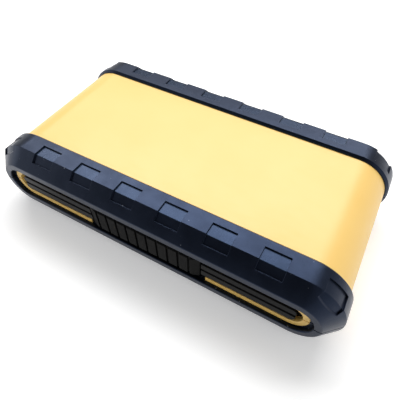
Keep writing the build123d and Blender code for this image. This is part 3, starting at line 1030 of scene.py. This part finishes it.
    def prism_rings(self, sides: int, length: float, run_out: float, edge: TipEdge) -> list[Ring]:
        """A tip with flats.

        Args:
            sides: The number of flats.
            length: The tip's length.
            run_out: How far behind it the neck ends.
            edge: Its front edge.

        Returns:
            The profile, from the neck's end to the front.
        """
        limit = even_prism(self.size, sides)
        corner = self.size / 2 / math.cos(math.pi / sides)
        start = self.length - length
        rings = [Ring(start - run_out, self.neck_radius())]
        rings += [Ring(along, corner, limit) for along in (start, start + self.run_in)]
        return rings + [
            Ring(self.length - edge.length * (1 - share), corner - edge.depth * share, limit)
            for share in spread(0.0, 1.0, edge.step)
        ]

    def tip_rings(self) -> list[Ring]:
        """The tip, whatever its form.

        Returns:
            The profile, from the neck's end to the axis.
        """
        match self.tip:
            case Tip.CROSS | Tip.RIBBED_CROSS:
                rings = self.cross_rings()
            case Tip.SLOTTED:
                rings = self.blade_rings()
            case Tip.STAR | Tip.TAMPER_STAR:
                rings = self.star_rings()
            case Tip.HEXAGON:
                rings = self.prism_rings(6, self.star_length, self.run_out, self.key_edge)
            case Tip.SQUARE:
                rings = self.prism_rings(4, self.drive_length, 0.0, self.drive_edge)
        return [*rings, Ring(rings[-1].along, 0.0)]

    def shape(self) -> Shape:
        """The whole bit.

        Returns:
            Its shape, with a square drive's flats towards the case's sides.
        """
        tip = self.tip_rings()
        shape = turned(self.body_rings(tip[0].along - self.neck_gap) + tip, self.steps)
        if self.tip is Tip.SQUARE:
            turn = Matrix.Rotation(math.pi / 4, 3, "Z")
            bmesh.ops.rotate(shape, verts=shape.verts, cent=(0.0, 0.0, 0.0), matrix=turn)
        return shape


@dataclass
class BitRow:
    """The bits of one sort, standing in their rack from left to right."""

    node: str
    tip: Tip
    sizes: tuple[float, ...]
    pitch: float = 12.0

    def build(self) -> None:
        """Build the row's bits and let them stand for their node."""
        low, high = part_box(self.node)
        shapes = []
        for number, size in enumerate(self.sizes):
            bit = Bit(self.tip, size)
            across = low.x + (bit.bar.corner + number * self.pitch) * MM
            shape = bit.shape()
            place = Vector((across, (low.y + high.y) / 2, low.z))
            bmesh.ops.translate(shape, verts=shape.verts, vec=place)
            shapes.append(shape)
        kind = self.tip.value.replace(" ", "_")
        add_piece(f"{kind}_tips_milled", joined(shapes), Body.BASE, BIT_STEEL, self.node)


# Bit holder, pins and spring


@dataclass
class Holder:
    """The magnetic bit holder: a grooved and knurled sleeve, a hexagon shank and a magnet."""

    radius: float = 5.0
    length: float = 38.0
    edge: float = 0.5
    bar: HexagonBar = HexagonBar()
    sleeve_steps: int = 144
    shank_steps: int = 96
    magnet_steps: int = 48

    # Bores at both ends, and the magnet's pocket
    bore: HexagonBar = HexagonBar(across=6.45)
    bore_depth: float = 10.0
    shank_depth: float = 8.0
    mouth_bevel: float = 0.25
    mouth_depth: float = 0.3
    pocket_radius: float = 2.65
    pocket_depth: float = 3.0
    magnet_gap: float = 0.05
    magnet_edge: float = 0.2

    # Grooves
    first_groove: float = 4.0
    grooves: int = 5
    groove_pitch: float = 2.4
    groove_width: float = 1.0
    groove_depth: float = 0.4
    groove_slope: float = 0.15

    # Knurl, between two narrow grooves
    knurl_start: float = 17.5
    knurl_end: float = 34.5
    knurl_count: int = 24
    knurl_depth: float = 0.25
    knurl_sink: float = 0.03
    knurl_steepness: float = 3.2
    knurl_step: float = 0.3
    side_groove: float = 0.3
    side_groove_width: float = 0.5

    # Ball groove round the shank
    ball_groove: float = 10.0
    ball_radius: float = 2.8
    ball_reach: float = 1.5
    ball_step: float = 15.0

    def build(self) -> None:
        """Build the three pieces."""
        for node, shape, finish in (
            ("holder_sleeve", self.sleeve(), HOLDER_CHROME),
            ("holder_shank", self.shank(), BIT_STEEL),
            ("holder_magnet", self.magnet(), MAGNET),
        ):
            low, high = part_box(node)
            place = Vector((low.x, (low.y + high.y) / 2, (low.z + high.z) / 2))
            add_piece(f"{node}_turned", laid(shape, place), Body.BASE, finish, node)

    def knurl(self, angle: float, along: float) -> float:
        """How far out the diamond knurl goes.

        Args:
            angle: The angle round the axis.
            along: The place along the axis.

        Returns:
            The reach there.
        """
        round_count = self.knurl_count * angle / (2 * math.pi)
        along_count = self.knurl_count * along / (2 * math.pi * self.radius)
        depth = 0.0
        for count in (round_count + along_count, round_count - along_count):
            depth = max(depth, 1 - self.knurl_steepness * abs(count % 1 - 0.5))
        return self.radius - self.knurl_sink - self.knurl_depth * depth

    def outside(self) -> list[Ring]:
        """The sleeve's outside, with its grooves and its knurl.

        Returns:
            The profile, from the shank's end to the mouth.
        """
        low = self.radius - self.groove_depth
        side = self.radius - self.side_groove
        rings = [Ring(0.0, self.radius - self.edge), Ring(self.edge, self.radius)]
        for number in range(self.grooves):
            start = self.first_groove + number * self.groove_pitch
            end = start + self.groove_width
            rings += [Ring(start, self.radius), Ring(start + self.groove_slope, low)]
            rings += [Ring(end - self.groove_slope, low), Ring(end, self.radius)]
        rings.append(Ring(self.knurl_start - self.side_groove_width, self.radius))
        rings.append(Ring(self.knurl_start - self.side_groove, side))
        rings += [
            Ring(along, self.radius, self.knurl)
            for along in spread(self.knurl_start, self.knurl_end, self.knurl_step)
        ]
        rings.append(Ring(self.knurl_end + self.side_groove, side))
        rings.append(Ring(self.knurl_end + self.side_groove_width, self.radius))
        rings.append(Ring(self.length - self.edge, self.radius))
        return [*rings, Ring(self.length, self.radius - self.edge)]

    def sleeve(self) -> Shape:
        """The sleeve, from the shank's bore round the outside to the magnet's pocket.

        Returns:
            Its shape, standing on the origin.
        """
        corner = self.bore.corner
        mouth = self.length - self.mouth_depth
        floor = self.length - self.bore_depth
        pocket = floor - self.pocket_depth
        rings = [Ring(self.shank_depth, 0.0)]
        rings += [Ring(along, corner, self.bore.limit) for along in (self.shank_depth, 0.0)]
        rings += [*self.outside(), Ring(self.length, corner + self.mouth_bevel)]
        rings += [Ring(along, corner, self.bore.limit) for along in (mouth, floor)]
        rings += [Ring(along, self.pocket_radius) for along in (floor, pocket)]
        return turned([*rings, Ring(pocket, 0.0)], self.sleeve_steps)

    def shank(self) -> Shape:
        """The hexagon shank with its round ball groove.

        Returns:
            Its shape, standing on the origin.
        """
        low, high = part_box("holder_shank")
        end = (high.x - low.x) / MM
        rings = self.bar.foot()
        for turn in spread(-90.0, 90.0, self.ball_step):
            along = self.ball_groove + self.ball_reach * math.sin(math.radians(turn))
            depth = (self.bar.corner - self.ball_radius) * math.cos(math.radians(turn))
            rings.append(Ring(along, self.bar.corner - depth, self.bar.limit))
        rings += [Ring(end, self.bar.corner, self.bar.limit), Ring(end, 0.0)]
        return turned(rings, self.shank_steps)

    def magnet(self) -> Shape:
        """The magnet, with bevelled edges, standing on the origin."""
        rings = rod(self.pocket_depth, self.pocket_radius - self.magnet_gap, self.magnet_edge)
        return turned(rings, self.magnet_steps)


@dataclass
class Pins:
    """Round pins with bevelled ends, as one piece."""

    node: str
    body: Body
    middles: tuple[float, ...]
    length: float
    radius: float = 0.8
    edge: float = 0.18
    steps: int = 40

    def build(self) -> None:
        """Build the pins along their node's axis."""
        low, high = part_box(self.node)
        shapes = []
        for middle in self.middles:
            end = (middle - self.length / 2) * MM
            place = Vector((end, (low.y + high.y) / 2, (low.z + high.z) / 2))
            shapes.append(laid(turned(rod(self.length, self.radius, self.edge), self.steps), place))
        add_piece(f"{self.node}_turned", joined(shapes), self.body, STEEL_PIN, self.node)


@dataclass
class Spring:
    """A torsion spring of round wire about the latch's pin, built in one pose that does not wind as the
    lever turns.
    """

    node: str = "latch_spring"
    coil_radius: float = 1.4
    wire_radius: float = 0.2
    pitch: float = 0.9
    whole_turns: int = 2
    last_turn: float = 150.0
    lever_leg: float = 1.8
    bay_leg: float = 2.05
    sides: int = 12
    steps: int = 96

    def build(self) -> None:
        """Wind the coil, draw out both legs and let it stand for its node."""
        low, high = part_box("latch_pin")
        axis = Vector((0.0, (low.y + high.y) / 2, (low.z + high.z) / 2))
        turns = self.whole_turns + self.last_turn / 360
        advance = self.pitch * turns * MM
        start = axis + Vector((-advance / 2, -self.coil_radius * MM, 0.0))
        shape = bmesh.new()
        section = bmesh.ops.create_circle(
            shape,
            cap_ends=False,
            segments=self.sides,
            radius=self.wire_radius * MM,
            matrix=Matrix.Translation(start),
        )["verts"]
        rim = list({edge for vert in section for edge in vert.link_edges})
        bmesh.ops.spin(
            shape,
            geom=[*section, *rim],
            cent=axis,
            axis=(1.0, 0.0, 0.0),
            angle=2 * math.pi * turns,
            steps=self.steps,
            dvec=(advance / self.steps, 0.0, 0.0),
        )
        slant = advance / (turns * 2 * math.pi * self.coil_radius * MM)
        end_turn = math.radians(self.last_turn)
        last_way = Vector((slant, math.sin(end_turn), -math.cos(end_turn)))
        ends = [edge for edge in shape.edges if edge.is_boundary]
        first = [edge for edge in ends if all(vert in section for vert in edge.verts)]
        last = [edge for edge in ends if edge not in first]
        self.draw_leg(shape, first, Vector((-slant, 0.0, 1.0)), self.lever_leg)
        self.draw_leg(shape, last, last_way, self.bay_leg)
        bmesh.ops.recalc_face_normals(shape, faces=shape.faces)
        piece = loose_piece("latch_spring_wound", shape, SPRING_STEEL, self.node)
        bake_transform(piece)

    def draw_leg(self, shape: Shape, rim: list[bmesh.types.BMEdge], way: Vector, reach: float) -> None:
        """Draw an end of the wire out straight and close it.

        Args:
            shape: The spring.
            rim: The edges round the wire's end.
            way: The way that the leg goes.
            reach: Its length, in millimetres.
        """
        drawn = bmesh.ops.extrude_edge_only(shape, edges=rim)["geom"]
        tips = [item for item in drawn if isinstance(item, bmesh.types.BMVert)]
        bmesh.ops.translate(shape, verts=tips, vec=way.normalized() * reach * MM)
        edges = [item for item in drawn if isinstance(item, bmesh.types.BMEdge)]
        bmesh.ops.contextual_create(shape, geom=[edge for edge in edges if edge.is_boundary])


# Sub-assemblies


@dataclass
class Case:
    """The two halves: shells, bumpers, trays and the hinge's pins."""

    shell_radius: float = 0.2
    bumper_radius: float = 0.13
    pin_middles: tuple[float, ...] = (-44.0, 44.0)
    pin_length: float = 26.7

    def build(self) -> None:
        """Build and dress both halves."""
        for body, half in ((Body.BASE, "base"), (Body.LID, "lid")):
            Moulding(f"{half}_shell", body, SHELL_YELLOW, self.shell_radius).build()
            for end in ("front", "rear"):
                BumperMoulding(f"{half}_{end}_bumper", body, BUMPER_RUBBER, self.bumper_radius).build()
            dress(f"{half}_tray", TRAY_BLACK)
        Pins("hinge_pins", Body.BASE, self.pin_middles, self.pin_length).build()


@dataclass
class Latch:
    """The ribbed lever, its pin and its spring."""

    lever_radius: float = 0.2
    pin_middles: tuple[float, ...] = (0.0,)
    pin_length: float = 55.2

    def build(self) -> None:
        """Build the lever, the pin and the spring."""
        Moulding("latch", Body.LATCH, LATCH_BLACK, self.lever_radius).build()
        Pins("latch_pin", Body.LID, self.pin_middles, self.pin_length).build()
        Spring().build()


@dataclass
class Tools:
    """Everything that stands or lies in the base: racks, bits, adaptor and the bit holder."""

    rack_radius: float = 0.3
    rows: tuple[BitRow, ...] = (
        BitRow("slotted_bits", Tip.SLOTTED, (3.5, 4.5, 5.5, 6.0)),
        BitRow("phillips_bits", Tip.CROSS, (1.5, 2.0, 3.0, 3.0, 3.0, 3.1)),
        BitRow("pozidriv_bits", Tip.RIBBED_CROSS, (1.5, 2.0, 3.0, 3.0, 3.1)),
        BitRow("hex_bits", Tip.HEXAGON, (2.0, 2.5, 3.0, 4.0, 4.9)),
        BitRow("star_bits", Tip.STAR, (2.4, 3.3, 4.4, 5.0, 5.6)),
        BitRow("tamper_star_bits", Tip.TAMPER_STAR, (2.7, 3.8, 4.4, 5.0)),
        BitRow("socket_adaptor", Tip.SQUARE, (6.3,)),
    )

    def build(self) -> None:
        """Build the racks and what is in them."""
        for node in ("front_rack", "middle_rack", "rear_rack"):
            Moulding(node, Body.BASE, RACK_GREY, self.rack_radius).build()
        for row in self.rows:
            row.build()
        Holder().build()


# Studio


@dataclass(frozen=True)
class Lamp:
    """A soft white lamp that faces the object, with its place and sides in metres."""

    name: str
    place: Triple
    width: float
    height: float
    power: float

    def build(self) -> None:
        """Hang the lamp in its place."""
        light = bpy.data.lights.new(self.name, "AREA")
        light.shape = "RECTANGLE"
        light.size = self.width
        light.size_y = self.height
        light.energy = self.power
        holder = bpy.data.objects.new(self.name, light)
        holder.location = self.place
        holder.rotation_euler = (-Vector(self.place)).to_track_quat("-Z", "Y").to_euler()
        bpy.context.scene.collection.objects.link(holder)


@dataclass
class Studio:
    """The floor, the lamps, the world and the camera."""

    # Floor, in metres
    floor_size: float = 3.2
    floor_colour: Triple = (0.93, 0.93, 0.93)
    floor_roughness: float = 0.9
    floor_glow: float = 0.34

    # Strength of the world's light towards the front, the right and the horizon
    front: Triple = (0.22, -0.9, 0.38)
    front_light: Fade = Fade(0.35, 0.85, 0.42, 0.02)
    right_light: Fade = Fade(0.3, 0.85, 0.05, 1.0)
    horizon_light: Fade = Fade(0.18, 0.42, 0.9, 0.0)

    lamps: tuple[Lamp, ...] = (
        Lamp("key", (-0.2, 0.5, 0.74), width=1.16, height=0.42, power=9.0),
        Lamp("left", (-0.85, -0.4, 0.32), width=0.6, height=0.5, power=0.8),
    )

    # Camera, with its place in millimetres
    camera_place: Triple = (57.88, -101.62, 142.92)
    yaw: float = math.radians(28.58)
    pitch: float = math.radians(51.21)
    roll: float = math.radians(0.73)
    focal_pixels: float = 375.96
    image_pixels: int = 400
    sensor: float = 36.0
    nearest: float = 10.0

    def build(self) -> None:
        """Build everything around the object."""
        self.build_floor()
        self.build_world()
        for lamp in self.lamps:
            lamp.build()
        self.build_camera()

    def build_floor(self) -> None:
        """A plain pale floor that keeps the object's shadow."""
        mesh = bpy.data.meshes.new("floor")
        shape = bmesh.new()
        bmesh.ops.create_grid(shape, x_segments=1, y_segments=1, size=self.floor_size / 2)
        shape.to_mesh(mesh)
        shape.free()
        floor = bpy.data.objects.new("floor", mesh)
        bpy.context.scene.collection.objects.link(floor)
        bench = MaterialBench("floor_white")
        glow = bench.reckon("MULTIPLY", bench.shown_rays(), self.floor_glow)
        material = bench.finished(
            {
                "Base Color": self.floor_colour,
                "Roughness": self.floor_roughness,
                "Emission Color": WHITE,
                "Emission Strength": glow,
            }
        )
        mesh.materials.append(material)

    def build_world(self) -> None:
        """Soft light from all round, dimmer in front of the case, on the camera's side."""
        world = bpy.data.worlds.new("studio")
        bpy.context.scene.world = world
        world.use_nodes = True
        bench = NodeBench(world.node_tree)
        way = bench.nodes.new("ShaderNodeTexCoord").outputs["Generated"]
        toward = bench.nodes.new("ShaderNodeVectorMath")
        toward.operation = "DOT_PRODUCT"
        bench.fill(toward, {0: way, 1: Vector(self.front).normalized()})
        horizon = bench.ramp(bench.axis(way, "Z"), self.horizon_light)
        strength = bench.reckon("MULTIPLY", horizon, bench.shown_rays())
        for light in (
            bench.ramp(toward.outputs["Value"], self.front_light),
            bench.ramp(bench.axis(way, "X"), self.right_light),
        ):
            strength = bench.reckon("MAXIMUM", strength, light)
        bench.fill(bench.nodes["Background"], {"Color": WHITE, "Strength": strength})

    def build_camera(self) -> None:
        """Put the camera at the photograph's viewpoint."""
        camera = bpy.data.cameras.new("camera")
        camera.sensor_width = self.sensor
        camera.lens = self.focal_pixels / self.image_pixels * self.sensor
        camera.clip_start = self.nearest * MM
        out = math.cos(self.pitch)
        back = Vector((math.sin(self.yaw) * out, -math.cos(self.yaw) * out, math.sin(self.pitch)))
        level = Vector((math.cos(self.yaw), math.sin(self.yaw), 0.0))
        upright = back.cross(level)
        right = math.cos(self.roll) * level + math.sin(self.roll) * upright
        up = -math.sin(self.roll) * level + math.cos(self.roll) * upright
        facing = Matrix((right, up, back)).transposed().to_4x4()
        holder = bpy.data.objects.new("camera", camera)
        holder.matrix_world = Matrix.Translation(Vector(self.camera_place) * MM) @ facing
        bpy.context.scene.collection.objects.link(holder)
        bpy.context.scene.camera = holder


def main() -> None:
    """Build the case and everything in it, and light it."""
    bpy.context.scene.view_settings.view_transform = "Standard"
    for assembly in (Case(), Latch(), Tools(), Studio()):
        assembly.build()
        log.info("finished %s", type(assembly).__name__)


if __name__ == "__main__":
    main()
